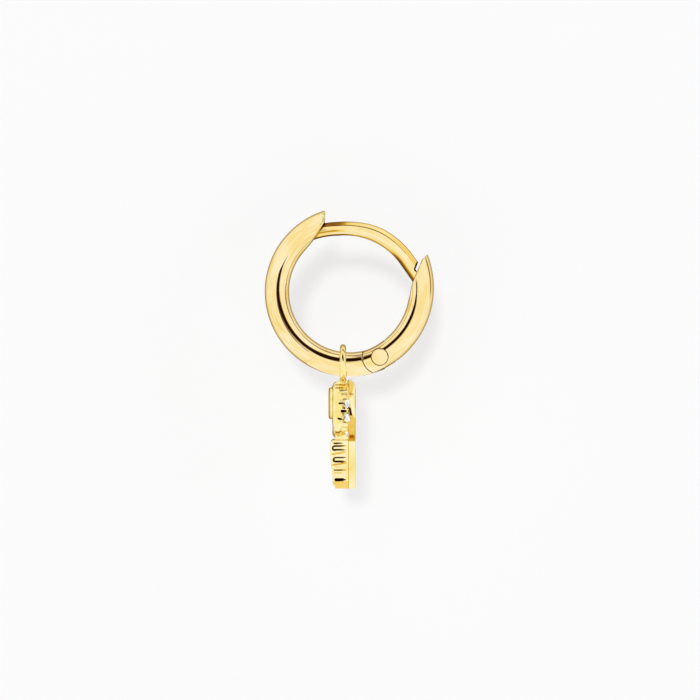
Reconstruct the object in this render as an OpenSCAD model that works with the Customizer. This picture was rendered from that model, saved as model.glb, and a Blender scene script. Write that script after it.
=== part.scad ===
// Hinged hoop earring with a charm on a fixed ring.
// The hoop stands in the XZ plane. X runs from the charm's front to its back, Y across the
// charm, Z up. The origin is the top of the ear post's centre line, where it hangs in the ear.

/* [Hoop] */
// Radius of the front half, to the middle of its tube
hoop_r = 5.61; // [5:0.01:7]
// Diameter of the tube
tube_d = 1.88; // [1.7:0.01:2.1]
// Angle of the line that halves the gap at the top, from +X
gap_angle = 67.25; // [60:0.25:75]
// Distance of each tube end from that line
end_offset = 4.19; // [4:0.01:4.4]
// Radius of the rounded end of the front half
end_round_r = 2.7; // [2.4:0.1:4]
// How far that rounded end stands proud of a straight cut
end_bulge = 0.25; // [0.1:0.01:0.3]

/* [Arm] */
// Radius of the arm, to the middle of its tube
arm_r = 6.08; // [5.9:0.01:6.3]
// Turn between the two halves where they meet
arm_kink = 4; // [2:0.5:6]
// Angle round the arm where the flat on its inner side starts
end_flat_angle = -13.5; // [-20:0.5:-8]

/* [Ear post] */
// Radius of the post, to the middle of its thickness
post_r = 5.8; // [5.6:0.05:6]
// Distance from the hoop's centre back to the post's centre
post_back = 0.96; // [0.8:0.01:1.1]
// Thickness of the post, across its curve
post_t = 1.15; // [1:0.01:1.3]
// Width of the post, along Y
post_w = 0.9; // [0.8:0.01:1]
// Height of the bevel on its outer edges
bevel_h = 0.34; // [0.2:0.01:0.4]
// Width of that bevel
bevel_w = 0.24; // [0.15:0.01:0.3]
// Angle at which the post becomes straight
post_straight_angle = 35; // [32:0.5:38]
// Length of the straight stretch at full thickness
post_full_l = 0.64; // [0.4:0.01:0.8]
// Length of the thin end past it
post_thin_l = 1.67; // [1.4:0.01:1.8]
// Depth of the step from full thickness to the thin end
post_step = 0.41; // [0.3:0.01:0.45]
// Width of the thin end, along Y
post_thin_w = 0.6; // [0.5:0.01:0.7]

/* [Hinge] */
// Angle of the pin round the hoop's centre
pin_angle = 294.6; // [293:0.1:296]
// Distance of the pin inside the middle of the tube
pin_inset = 0.1; // [0:0.01:0.15]
// Radius of the round joint line about the pin
joint_r = 1.31; // [1.2:0.01:1.45]
// Diameter of the pin's shank
shank_d = 0.8; // [0.7:0.01:0.9]
// Diameter of the pin's flat heads
head_d = 1.26; // [1.1:0.01:1.35]
// Thickness of each head
head_t = 0.3; // [0.2:0.01:0.35]
// How far each head stands proud of the tube
head_proud = 0.03; // [0:0.01:0.06]
// Thickness of the tongue
tongue_t = 0.7; // [0.5:0.01:0.8]

/* [Bail ring] */
// Place of the ring along X
bail_x = -0.146; // [-0.3:0.001:0.1]
// Width of its wire, along X
bail_w = 0.47; // [0.4:0.01:0.55]
// Thickness of its wire, across the ring
bail_t = 0.52; // [0.45:0.01:0.6]
// Radial play of the ring on the tube
bail_play = 0.1; // [0.08:0.01:0.14]
// Drop of the ring's centre below the tube's
bail_drop = 0.02; // [0:0.005:0.04]

/* [Charm] */
// Radius of the back plate's disc
plate_r = 2.39; // [2.3:0.01:2.6]
// Thickness of the back plate
plate_t = 0.55; // [0.5:0.01:0.7]
// Distance of the plate's front from the ring's middle
plate_set = 0.41; // [0.3:0.01:0.45]
// Radius of the plate's rounded back edge
plate_round = 0.1; // [0.05:0.01:0.15]
// Radius of the curve in which the plate's back leans forward at its top
crown_r = 1.6; // [1.5:0.05:1.8]
// Distance below the plate's top at which that curve starts
crown_drop = 1.2; // [1:0.05:1.3]
// Overlap of the ring and the plate's disc
bail_sink = 0.45; // [0.35:0.01:0.5]
// Radius of the rosette's drum
drum_r = 2.15; // [2.05:0.01:2.25]
// Thickness of the drum
drum_t = 1.21; // [1.1:0.01:1.3]
// Radius of the drum's rounded front edge
drum_round = 0.35; // [0.2:0.01:0.4]
// Radius of each lobe
lobe_r = 0.5; // [0.4:0.01:0.55]
// Distance from the disc's centre to each lobe's
lobe_ring_r = 1.73; // [1.6:0.01:1.8]
// Radius of the boss on the front
boss_r = 1.22; // [1.1:0.01:1.35]
// Height of the boss
boss_h = 0.32; // [0.2:0.01:0.4]
// Distance of the boss above the disc's centre
boss_lift = 0.5; // [0.3:0.01:0.55]
// Width of each slit in the drum's side
slit_w = 0.08; // [0.06:0.01:0.12]
// Depth of each slit
slit_depth = 0.35; // [0.2:0.01:0.4]
// Length of each slit, along X
slit_l = 0.5; // [0.4:0.01:0.55]
// Width of the neck that joins the rosette and the block
neck_w = 1.6; // [1.4:0.05:1.8]
// Height of the neck, half of it in the block
neck_h = 0.6; // [0.5:0.05:0.7]
// Depth of the neck in front of the plate
neck_t = 1.06; // [0.9:0.01:1.1]

/* [Block below the rosette] */
// Height of the block
block_h = 3.7; // [3.4:0.05:4]
// Width of the block at its top
block_w = 2.8; // [2.4:0.05:3.2]
// Width of the block at its base
block_base_w = 2.4; // [2:0.05:2.4]
// Depth of the block in front of the plate
block_t = 1.36; // [1.2:0.01:1.5]
// Overlap of the block and the plate's disc
block_lap = 0.11; // [0.08:0.01:0.2]
// Depth of the flutes in its sides
flute_depth = 0.24; // [0.15:0.01:0.3]
// Distance of the flutes from the block's front
flute_inset = 0.18; // [0.14:0.01:0.25]
// Slope of the flutes, rising to the back
flute_slope = 2; // [0:0.5:10]

/* [Stones] */
// Diameter of each stone
stone_d = 0.54; // [0.45:0.01:0.6]
// Height of its bevelled top
bezel_h = 0.09; // [0.07:0.01:0.12]
// Height of its edge
girdle_h = 0.03; // [0.02:0.005:0.04]
// Depth of its lower part
pavilion_h = 0.2; // [0.16:0.01:0.24]
// Distance of the stones from the disc's centre
stone_ring_r = 2.1; // [2:0.01:2.15]
// Distance of the stones in front of the plate's front
stone_set = 0.1; // [0.05:0.01:0.15]
// Lean of the stones from outwards to the front
stone_lean = 45; // [35:1:55]

/* [Clearances] */
// Gap between the two halves of the hoop
half_gap = 0.05; // [0.04:0.01:0.08]
// Radial clearance of the shank in the tongue
shank_play = 0.03; // [0.02:0.01:0.05]
// Clearance of the pin in the cheeks
cheek_play = 0.01; // [0.005:0.005:0.02]
// Clearance of the post's end in its slot
post_play = 0.07; // [0.05:0.01:0.1]
// Clearance of a stone in its seat
seat_play = 0.02; // [0.015:0.005:0.03]

/* [Hidden] */

gold = [0.93, 0.76, 0.36];
white = [0.95, 0.97, 1];
round_fn = 64;
ease = 0.01;
// Share of the joint's radius, along the tube, from the pin to where the halves' centre lines meet
meet_share = 0.62;
// Joint radii that the tubes reach past the pin before the joint is cut
joint_reach = 1.6;
// Angle short of the gap's line at which the tubes start before their ends are cut
tube_start = 30;
// How far the lobes stand proud of the drum's front
lobe_proud = 0.04;

tube_r = tube_d / 2;
// Unit vectors in the XZ plane: outwards at an angle, and along the arc at that angle
function out(a) = [cos(a), sin(a)];
function along(a) = [-sin(a), cos(a)];

post_centre = [0, -post_r];
hoop_centre = post_centre + post_back * out(gap_angle);
front_end_angle = gap_angle + asin(end_offset / hoop_r);

pin_place = hoop_centre + (hoop_r - pin_inset) * out(pin_angle);
meet_angle = pin_angle - meet_share * joint_r / hoop_r * 180 / PI;
meet_place = hoop_centre + hoop_r * out(meet_angle);
arm_centre = meet_place - arm_r * out(meet_angle + arm_kink);
pin_from_arm = pin_place - arm_centre;
pin_angle_on_arm = atan2(pin_from_arm[1], pin_from_arm[0]);
joint_span = joint_reach * joint_r / hoop_r * 180 / PI;

post_in = post_r - post_t / 2;
post_out = post_r + post_t / 2;
thin_t = post_t - post_step;
// The step in the post's edge has a round corner of this radius
step_round = 0.1;
// Depth to which the post is let into the end of the front half
post_root_angle = 6;

bail_in = tube_r + bail_play;
bail_out = bail_in + bail_t;
bail_side = bail_x - hoop_centre[0];
tube_z_at_bail = hoop_centre[1] - sqrt(hoop_r * hoop_r - bail_side * bail_side);
bail_z = tube_z_at_bail - bail_drop;
disc_z = bail_z - bail_out - plate_r + bail_sink;
plate_x = bail_x + plate_set;
drum_front_x = plate_x - drum_t;

block_top = disc_z - plate_r + block_lap;
block_base = block_top - block_h;
block_front_x = plate_x - block_t;
// Shares of the block's height from its top, and of it for each flute's height
flutes = [[0.085, 0.03], [0.18, 0.095], [0.42, 0.105], [0.64, 0.03], [0.83, 0.055]];

lobe_angles = [30, 90, 150, 210, 270, 330];
slit_angles = [for (side = [0:60:300], turn = [-15, 0, 15]) side + turn];
// Angles round the disc, up from level at the side that faces -Y; the far side mirrors them
stone_angles = [15, -15, -57];

stone_r = stone_d / 2;
seat_reach = 0.9 * stone_d;
table_r = 0.58 * stone_r;
culet_r = 0.06 * stone_r;

module in_hoop_plane(place) translate([place[0], 0, place[1]]) rotate([90, 0, 0]) children();

// Part of a round tube bent about place, from one angle to another
module tube_arc(place, r, from, to) {
    in_hoop_plane(place)
        rotate([0, 0, from])
            rotate_extrude(angle = to - from, $fn = 3 * round_fn)
                translate([r, 0])
                    circle(r = tube_r, $fn = round_fn);
}

// A round bar across the hoop at place, between two heights along Y
module cross_bar(place, r, low, high) {
    in_hoop_plane(place)
        translate([0, 0, -high])
            cylinder(h = high - low, r = r, $fn = round_fn);
}

// A block in the hoop's plane: x along the angle from place, z at right angles to it
module plane_block(place, angle, x, z, y) {
    in_hoop_plane(place)
        rotate([0, 0, angle])
            translate([x[0], z[0], -y / 2])
                cube([x[1] - x[0], z[1] - z[0], y]);
}

// The rounded stretch of the front half's end
module front_end_bar() {
    bar_x = end_offset - end_bulge + end_round_r;
    bar_place = hoop_centre + bar_x * along(gap_angle) + hoop_r * cos(asin(end_offset / hoop_r)) * out(gap_angle);
    cross_bar(bar_place, end_round_r, -tube_d, tube_d);
}

module front_tube() {
    difference() {
        tube_arc(hoop_centre, hoop_r, gap_angle + tube_start, pin_angle);
        difference() {
            plane_block(hoop_centre, gap_angle, [0, 2 * hoop_r], [-hoop_r, end_offset], 2 * tube_d);
            front_end_bar();
        }
        for (side = [-1, 1])
            cross_bar(pin_place, joint_r + half_gap,
                side > 0 ? tongue_t / 2 : -tube_d, side > 0 ? tube_d : -tongue_t / 2);
        plane_block(pin_place, pin_angle, [-tube_d, tube_d], [-half_gap, tube_d], 2 * tube_d);
    }
}

// The tongue is filed flush with both halves
module tongue() {
    intersection() {
        tube_arc(hoop_centre, hoop_r, pin_angle - joint_span, pin_angle + joint_span);
        tube_arc(arm_centre, arm_r, pin_angle_on_arm - joint_span, pin_angle_on_arm + joint_span);
        cross_bar(pin_place, joint_r, -tongue_t / 2, tongue_t / 2);
    }
}

// Outline across the post: x outwards, y its width
module post_section() {
    polygon([
        [post_in, -post_w / 2],
        [post_out - bevel_h, -post_w / 2],
        [post_out, bevel_w - post_w / 2],
        [post_out, post_w / 2 - bevel_w],
        [post_out - bevel_h, post_w / 2],
        [post_in, post_w / 2]
    ]);
}

module ear_post() {
    in_hoop_plane(post_centre)
        rotate([0, 0, post_straight_angle])
            rotate_extrude(angle = front_end_angle + post_root_angle - post_straight_angle, $fn = 3 * round_fn)
                post_section();
    difference() {
        in_hoop_plane(post_centre)
            rotate([0, 0, post_straight_angle])
                rotate([90, 0, 0])
                    translate([0, 0, -ease])
                        linear_extrude(height = post_full_l + post_thin_l + ease)
                            post_section();
        plane_block(post_centre, post_straight_angle, [post_in + thin_t + step_round, 2 * post_out],
            [-2 * post_r, -post_full_l], tube_d);
        plane_block(post_centre, post_straight_angle, [post_in + thin_t, 2 * post_out],
            [-2 * post_r, -post_full_l - step_round], tube_d);
        step_corner = post_centre + (post_in + thin_t + step_round) * out(post_straight_angle)
            - (post_full_l + step_round) * along(post_straight_angle);
        cross_bar(step_corner, step_round, -tube_d, tube_d);
        for (side = [-1, 1])
            translate([0, side * (post_thin_w + tube_d) / 2, 0])
                plane_block(post_centre, post_straight_angle, [0, 2 * post_out],
                    [-2 * post_r, -post_full_l - step_round], tube_d);
    }
}

module hoop_front() {
    color(gold)
        difference() {
            union() {
                front_tube();
                tongue();
                ear_post();
            }
            cross_bar(pin_place, shank_d / 2 + shank_play, -tongue_t, tongue_t);
        }
}

// Tube of the arm with its end cut to the gap and a flat along its inner side
module arm_tube() {
    difference() {
        tube_arc(arm_centre, arm_r, pin_angle_on_arm, gap_angle - tube_start);
        plane_block(hoop_centre, gap_angle, [0, 2 * hoop_r], [-end_offset, hoop_r], 2 * tube_d);
        plane_block(arm_centre, end_flat_angle, [0, arm_r - tube_r], [0, arm_r], 2 * tube_d);
    }
}

module arm_cheeks() {
    intersection() {
        tube_arc(arm_centre, arm_r, pin_angle_on_arm - joint_span, pin_angle_on_arm + joint_span);
        cross_bar(pin_place, joint_r, -tube_d, tube_d);
    }
}

module post_slot() {
    slot_end = -post_full_l - post_thin_l - post_play;
    plane_block(post_centre, post_straight_angle, [0, post_in + thin_t + post_play],
        [slot_end, 0], post_thin_w + 2 * post_play);
}

module hinge_arm() {
    head_in = tube_r + head_proud - head_t;
    color(gold)
        difference() {
            union() {
                arm_tube();
                arm_cheeks();
            }
            cross_bar(pin_place, joint_r + half_gap, -tongue_t / 2 - half_gap, tongue_t / 2 + half_gap);
            cross_bar(pin_place, shank_d / 2 + cheek_play, -tube_d, tube_d);
            cross_bar(pin_place, head_d / 2 + cheek_play, head_in - cheek_play, tube_d);
            cross_bar(pin_place, head_d / 2 + cheek_play, -tube_d, cheek_play - head_in);
            post_slot();
        }
}

module hinge_pin() {
    pin_end = tube_r + head_proud;
    color(gold) {
        cross_bar(pin_place, shank_d / 2, -pin_end, pin_end);
        cross_bar(pin_place, head_d / 2, pin_end - head_t, pin_end);
        cross_bar(pin_place, head_d / 2, -pin_end, head_t - pin_end);
    }
}

// Puts what is drawn about +Z on the disc's axis, with +Z turned to the charm's front
module on_disc(x, z = disc_z) translate([x, 0, z]) rotate([0, -90, 0]) children();

module bail_ring() {
    wire_round = bail_w / 2 - ease;
    translate([bail_x, 0, bail_z])
        rotate([0, 90, 0])
            rotate_extrude($fn = 2 * round_fn)
                union() {
                    translate([bail_in, wire_round - bail_w / 2])
                        square([bail_t - wire_round, bail_w - 2 * wire_round]);
                    translate([bail_in, -bail_w / 2])
                        square([bail_t - wire_round, bail_w]);
                    translate([bail_out - wire_round, -ease])
                        circle(r = wire_round, $fn = round_fn);
                    translate([bail_out - wire_round, ease])
                        circle(r = wire_round, $fn = round_fn);
                }
}

// A disc about +Z with the far edge rounded
module round_disc(r, t, edge) {
    rotate_extrude($fn = 2 * round_fn)
        union() {
            square([r - edge, t]);
            square([r, t - edge]);
            translate([r - edge, t - edge])
                circle(r = edge, $fn = round_fn);
        }
}

// The plate leans forward at the top of its back, in a curve across its whole width
module back_plate() {
    curve_place = [plate_x + plate_t - crown_r, disc_z + plate_r - crown_drop];
    difference() {
        translate([plate_x, 0, disc_z])
            rotate([0, 90, 0])
                round_disc(plate_r, plate_t, plate_round);
        difference() {
            plane_block(curve_place, 0, [0, 2 * crown_r], [0, 2 * crown_r], 4 * plate_r);
            cross_bar(curve_place, crown_r, -3 * plate_r, 3 * plate_r);
        }
    }
}

module lobes() {
    for (turn = lobe_angles)
        on_disc(plate_x)
            rotate([0, 0, turn + 90])
                translate([lobe_ring_r, 0, -ease]) {
                    cylinder(h = drum_t + ease - lobe_r + lobe_proud, r = lobe_r, $fn = round_fn);
                    translate([0, 0, drum_t + ease - lobe_r + lobe_proud])
                        sphere(r = lobe_r, $fn = round_fn);
                }
}

module boss() {
    ball_r = (boss_r * boss_r + boss_h * boss_h) / (2 * boss_h);
    on_disc(drum_front_x, disc_z + boss_lift)
        intersection() {
            translate([0, 0, -ease])
                cylinder(h = boss_h + ease, r = boss_r, $fn = 2 * round_fn);
            translate([0, 0, boss_h - ball_r])
                sphere(r = ball_r, $fn = 2 * round_fn);
        }
}

module slits() {
    for (turn = slit_angles)
        on_disc(plate_x)
            rotate([0, 0, turn + 90])
                translate([drum_r - slit_depth, -slit_w / 2, drum_t - drum_round - slit_l])
                    cube([2 * slit_depth, slit_w, slit_l]);
}

module block_body() {
    step = 0.12;
    intersection() {
        translate([0, block_w, 0])
            rotate([90, 0, 0])
                linear_extrude(height = 2 * block_w)
                    polygon([
                        [plate_x + plate_t, block_base],
                        [plate_x + plate_t, block_top],
                        [block_front_x + 2 * step, block_top],
                        [block_front_x, block_top - 2 * step],
                        [block_front_x, block_top - block_h / 2],
                        [block_front_x + 2 * step, block_base + 2 * step],
                        [block_front_x + 3 * step, block_base]
                    ]);
        translate([block_front_x - 1, 0, 0])
            rotate([90, 0, 90])
                linear_extrude(height = block_t + plate_t + 2)
                    polygon([
                        [-block_base_w / 2, block_base],
                        [block_base_w / 2, block_base],
                        [block_w / 2, block_top],
                        [-block_w / 2, block_top]
                    ]);
    }
}

// Flutes with a round end behind the block's front edge, cut into both sides
module block_flutes() {
    flute_x = block_front_x + flute_inset;
    for (side = [-1, 1], row = flutes) {
        high = row[1] * block_h;
        half_w = (block_w + (block_base_w - block_w) * row[0]) / 2;
        translate([flute_x + high / 2, side * half_w, block_top - row[0] * block_h])
            rotate([0, -flute_slope, 0]) {
                translate([0, -flute_depth, -high / 2])
                    cube([plate_x - flute_x - high / 2, 2 * flute_depth, high]);
                rotate([90, 0, 0])
                    cylinder(h = 2 * flute_depth, r = high / 2, center = true, $fn = 32);
            }
    }
}

module neck() {
    translate([plate_x - neck_t, -neck_w / 2, block_top - neck_h / 2])
        cube([neck_t + plate_t / 2, neck_w, neck_h]);
}

// Number of a stone to its angle round the disc, and to the side of the charm it is on
function stone_angle(i) = stone_angles[(i - 1) % 3];
function stone_side(i) = i <= 3 ? -1 : 1;

// Puts what is drawn about +Z at a stone's place, with +Z out of its table
module at_stone(i) {
    translate([plate_x - stone_set, 0, disc_z])
        rotate([-stone_side(i) * (90 - stone_angle(i)), 0, 0])
            translate([0, 0, stone_ring_r])
                rotate([0, -stone_lean, 0])
                    children();
}

module seat(i) {
    at_stone(i) {
        translate([0, 0, -pavilion_h - seat_play])
            cylinder(h = pavilion_h + seat_play, r1 = culet_r + seat_play, r2 = stone_r + seat_play, $fn = 32);
        cylinder(h = seat_reach, r = stone_r + seat_play, $fn = 32);
    }
}

module charm() {
    color(gold)
        difference() {
            union() {
                bail_ring();
                back_plate();
                on_disc(plate_x + ease)
                    round_disc(drum_r, drum_t + ease, drum_round);
                lobes();
                boss();
                block_body();
                neck();
            }
            slits();
            block_flutes();
            for (i = [1:6])
                seat(i);
        }
}

module stone(i) {
    color(white)
        at_stone(i)
            hull() {
                translate([0, 0, -pavilion_h])
                    cylinder(h = pavilion_h, r1 = culet_r, r2 = stone_r, $fn = 16);
                cylinder(h = girdle_h, r = stone_r, $fn = 16);
                cylinder(h = girdle_h + bezel_h, r = table_r, $fn = 8);
            }
}

hoop_front();
hinge_arm();
hinge_pin();
charm();
stone(1);  // stone_1
stone(2);  // stone_2
stone(3);  // stone_3
stone(4);  // stone_4
stone(5);  // stone_5
stone(6);  // stone_6
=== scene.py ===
"""Finish, light and camera for a hinged hoop earring with a fluted rosette charm."""
from functools import partialmethod
from math import asin, atan2, cos, degrees, hypot, pi, radians, sin, sqrt, tan
from types import SimpleNamespace

import bmesh
import bpy
from mathutils import Matrix, Vector

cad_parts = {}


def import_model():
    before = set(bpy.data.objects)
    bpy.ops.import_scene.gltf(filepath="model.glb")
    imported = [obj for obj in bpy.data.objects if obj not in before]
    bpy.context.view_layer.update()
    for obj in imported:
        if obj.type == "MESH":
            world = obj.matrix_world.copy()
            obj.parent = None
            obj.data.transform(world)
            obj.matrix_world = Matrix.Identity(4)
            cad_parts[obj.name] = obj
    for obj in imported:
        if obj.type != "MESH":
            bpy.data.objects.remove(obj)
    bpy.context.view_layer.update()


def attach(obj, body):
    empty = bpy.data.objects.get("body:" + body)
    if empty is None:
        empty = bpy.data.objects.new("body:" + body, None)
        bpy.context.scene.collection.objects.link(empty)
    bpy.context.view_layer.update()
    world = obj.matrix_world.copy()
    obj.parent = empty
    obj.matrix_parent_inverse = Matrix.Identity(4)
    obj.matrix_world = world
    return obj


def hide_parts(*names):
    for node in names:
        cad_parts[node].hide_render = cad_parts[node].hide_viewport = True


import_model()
scene = bpy.context.scene

# Shapes are made in millimetres, in the hoop's own plane (X to the back, Z up), and then scaled
MM = 0.001

# Hoop
HOOP_R = 5.61
TUBE_R = 0.94
GAP_ANGLE = 67.25
END_DISTANCE = 3.83
END_CORNER = 4.15
END_SLOPE = 0.175
TIP_SLOPE = 0.37
FRONT_EDGE = 0.16
ARM_EDGE = 0.07
ARM_TIP_CORNER = 4.5
ARM_TIP_SLOPE = 0.5
SEAM_EDGE = 0.04
END_OFFSET = 4.19
ARM_R = 6.08
ARM_KINK = 4
END_FLAT_ANGLE = -13.5

# Ear post
POST_R = 5.8
POST_BACK = 0.96
POST_T = 1.15
POST_FILED = 0.13
FILED_ANGLES = (62, 90)
POST_PROUD = 0.04
POST_W = 0.9
POST_STRAIGHT_ANGLE = 35
POST_L = 2.31
POST_THIN_W = 0.6
POST_ROOT_ANGLE = 6
POST_LIFT = 0.2
LIFT_ANGLE = 95
FLARE = 0.2
FLARE_PAST = 4.5
FLARE_SPAN = 3.2
POST_ROWS = 130
THIN_T = 0.7
NOTCH_W = 0.2

# Hinge
PIN_ANGLE = 294.6
PIN_INSET = 0.1
JOINT_R = 1.31
MEET_SHARE = 0.62
SHANK_D = 0.8
HEAD_D = 1.26
HEAD_T = 0.3
HEAD_PROUD = 0.03
HEAD_CORNER = 0.07
HEAD_GROOVE = 0.05
TONGUE_T = 0.7
TUBE_SPAN = 1.8
NECK_LAP = 0.3
NECK_FIT = 0.25
HALF_GAP = 0.05
SHANK_PLAY = 0.03
SLOT_PLAY = 0.07

# Bail ring and charm; flat round faces are closed from the cap's radius inwards
CAP_R = 0.4
BAIL_X = -0.146
BAIL_W = 0.47
BAIL_T = 0.52
BAIL_PLAY = 0.1
BAIL_DROP = 0.02
PLATE_R = 2.39
PLATE_T = 0.55
PLATE_SET = 0.41
CROWN_R = 0.9
CROWN_DROP = 0.8
BAIL_SINK = 0.45
DRUM_R = 2.15
DRUM_T = 1.21
DRUM_ROUND = 0.3
LOBE_R = 0.5
LOBE_RING_R = 1.73
LOBE_COUNT = 6
BOSS_R = 1.22
BOSS_H = 0.32
BOSS_LIFT = 0.5
BLOCK_H = 3.7
BLOCK_W = 2.8
BLOCK_BASE_W = 2.4
BLOCK_LAP = 0.11
NECK_X = (-1.0, 0.3)
NECK_Z = (-0.4, 0.6)
NECK_W = 1.9
PAD_SINK = 0.02
PAD_PROUD = 0.12

# Stones
STONE_D = 0.72
STONE_RING_R = 2.1
STONE_SET = 0.1
STONE_LEAN = 45
STONE_ANGLES = (15, -15, -57)
SEAT_PLAY = 0.03
SEAT_DEEP = 0.24
SEAT_TIP_R = 0.04
SEAT_UNDER = 0.02
SEAT_OVER = 0.35
SEAT_FLARE = 1.3
CLAW_R = 0.08
CLAW_OUT = 0.03


class Wire:
    """A socket of a node tree that takes part in plain arithmetic; each step adds a Math node."""

    def __init__(self, net, socket):
        self.net = net
        self.socket = socket

    def of(self, name):
        """Another output of the same node."""
        return Wire(self.net, self.socket.node.outputs[name])

    def math(self, operation, *others, clamp=False):
        values = dict(enumerate((self,) + others))
        return self.net.add("ShaderNodeMath", values, operation=operation, use_clamp=clamp)

    def __rsub__(self, other):
        return self.math("MULTIPLY_ADD", -1, other)

    def __neg__(self):
        return self * -1

    def held(self):
        """The value kept between 0 and 1."""
        return self.math("ADD", 0.0, clamp=True)

    def between(self, low, high):
        """0 below low, 1 above high and a soft step between."""
        return self.net.add("ShaderNodeMapRange", {"Value": self, "From Min": low, "From Max": high},
                            interpolation_type="SMOOTHSTEP")

    def near(self, middle, half, soft):
        """1 within half of the middle, fading to 0 over soft."""
        return 1 - (self - middle).size().between(half, half + soft)


# The signs and words that a wire takes part in, and the operation of the Math node for each
OPERATIONS = {
    "__add__": "ADD", "__radd__": "ADD", "__sub__": "SUBTRACT", "__mul__": "MULTIPLY",
    "__rmul__": "MULTIPLY", "__truediv__": "DIVIDE", "size": "ABSOLUTE", "root": "SQRT", "sin": "SINE",
    "cos": "COSINE", "arcsin": "ARCSINE", "arccos": "ARCCOSINE", "bearing": "ARCTAN2", "most": "MAXIMUM",
}
for word, operation in OPERATIONS.items():
    setattr(Wire, word, partialmethod(Wire.math, operation))


class Net:
    """A node tree under construction."""

    def __init__(self, tree):
        self.tree = tree

    def add(self, kind, values=(), out=0, **settings):
        """Adds a node: its settings are made first, then the values or links of its sockets."""
        node = self.tree.nodes.new(kind)
        for key, value in settings.items():
            if key == "stops":
                ramp = node.color_ramp
                while len(ramp.elements) < len(value):
                    ramp.elements.new(0.5)
                for stop, (place, colour) in zip(ramp.elements, value):
                    stop.position = place
                    stop.color = colour
            else:
                setattr(node, key, value)
        self.feed(node, values)
        return Wire(self, node.outputs[out]) if len(node.outputs) else node

    def feed(self, node, values):
        """Links wires to a node's sockets, and sets plain values there."""
        for key, value in dict(values).items():
            if isinstance(value, Wire):
                self.tree.links.new(value.socket, node.inputs[key])
            else:
                node.inputs[key].default_value = value

    def noise(self, where, scale, detail):
        return self.add("ShaderNodeTexNoise", {"Vector": where, "Scale": scale, "Detail": detail})

    def split(self, vector):
        """The three parts of a vector."""
        x = self.add("ShaderNodeSeparateXYZ", {0: vector})
        return x, x.of("Y"), x.of("Z")

    def joined(self, x, y, z):
        return self.add("ShaderNodeCombineXYZ", {"X": x, "Y": y, "Z": z})

    def blend(self, share, first, second):
        """A colour between two colours."""
        return self.add("ShaderNodeMix", {0: share, 6: first, 7: second}, out=2, data_type="RGBA")


def out(angle):
    """Unit vector outwards at an angle in the hoop's plane."""
    return Vector((cos(radians(angle)), 0, sin(radians(angle))))


def along(angle):
    """Unit vector along the arc at an angle in the hoop's plane."""
    return Vector((-sin(radians(angle)), 0, cos(radians(angle))))


# Ways and places that follow from the sizes
ACROSS = Vector((0, 1, 0))
TO_BACK = Vector((1, 0, 0))
gap_out, gap_along = out(GAP_ANGLE), along(GAP_ANGLE)
end_out, end_along = out(POST_STRAIGHT_ANGLE), -along(POST_STRAIGHT_ANGLE)
post_centre = Vector((0, 0, -POST_R))
hoop_centre = post_centre + POST_BACK * gap_out
front_end_angle = GAP_ANGLE + degrees(asin(END_OFFSET / HOOP_R))
pin_place = hoop_centre + (HOOP_R - PIN_INSET) * out(PIN_ANGLE)
meet_angle = PIN_ANGLE - degrees(JOINT_R / HOOP_R) * MEET_SHARE
meet_place = hoop_centre + HOOP_R * out(meet_angle)
arm_centre = meet_place - ARM_R * out(meet_angle + ARM_KINK)
arm_end_distance = END_OFFSET + (arm_centre - hoop_centre).dot(gap_along)
pin_from_arm = pin_place - arm_centre
pin_on_arm = degrees(atan2(pin_from_arm.z, pin_from_arm.x))
post_in = POST_R - POST_T / 2
post_out = POST_R + POST_T / 2

bail_in = TUBE_R + BAIL_PLAY
bail_out = bail_in + BAIL_T
tube_z_at_bail = hoop_centre.z - sqrt(HOOP_R ** 2 - (BAIL_X - hoop_centre.x) ** 2)
bail_place = Vector((BAIL_X, 0, tube_z_at_bail - BAIL_DROP))
disc_z = bail_place.z - bail_out - PLATE_R + BAIL_SINK
plate_x = BAIL_X + PLATE_SET
drum_front_x = plate_x - DRUM_T
block_top = disc_z - PLATE_R + BLOCK_LAP
block_base = block_top - BLOCK_H


def step_between(value, low, high):
    """0 below low, 1 above high and a soft step between."""
    share = min(1.0, max(0.0, (value - low) / (high - low)))
    return share * share * (3 - 2 * share)


def near_to(value, middle, half, soft):
    """1 within half of the middle, fading to 0 over soft."""
    return 1 - step_between(abs(value - middle), half, half + soft)


def even_steps(full, count):
    """Even steps from 0 to the full value, with both ends."""
    return [full * i / count for i in range(count + 1)]


# Making of meshes
MERGE = 1e-4


def new_piece(name, data):
    piece = bpy.data.objects.new(name, data)
    scene.collection.objects.link(piece)
    return piece


def solid(name, shape):
    """A piece from a closed shape, its faces turned outwards."""
    bmesh.ops.recalc_face_normals(shape, faces=shape.faces)
    mesh = bpy.data.meshes.new(name)
    shape.to_mesh(mesh)
    shape.free()
    return new_piece(name, mesh)


def baked(piece):
    """Takes the piece's modifiers into its mesh."""
    graph = bpy.context.evaluated_depsgraph_get()
    old, piece.data = piece.data, bpy.data.meshes.new_from_object(piece.evaluated_get(graph))
    piece.modifiers.clear()
    bpy.data.meshes.remove(old)
    return piece


def tidied(piece, crease=32):
    """Merges doubles, turns the faces outwards and shades smooth up to a crease angle."""
    shape = bmesh.new()
    shape.from_mesh(piece.data)
    bmesh.ops.remove_doubles(shape, verts=shape.verts, dist=MERGE)
    bmesh.ops.dissolve_degenerate(shape, edges=shape.edges, dist=MERGE)
    bmesh.ops.recalc_face_normals(shape, faces=shape.faces)
    for face in shape.faces:
        face.smooth = True
    for edge in shape.edges:
        edge.smooth = len(edge.link_faces) == 2 and edge.calc_face_angle(0) < radians(crease)
    shape.to_mesh(piece.data)
    shape.free()
    return piece


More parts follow.
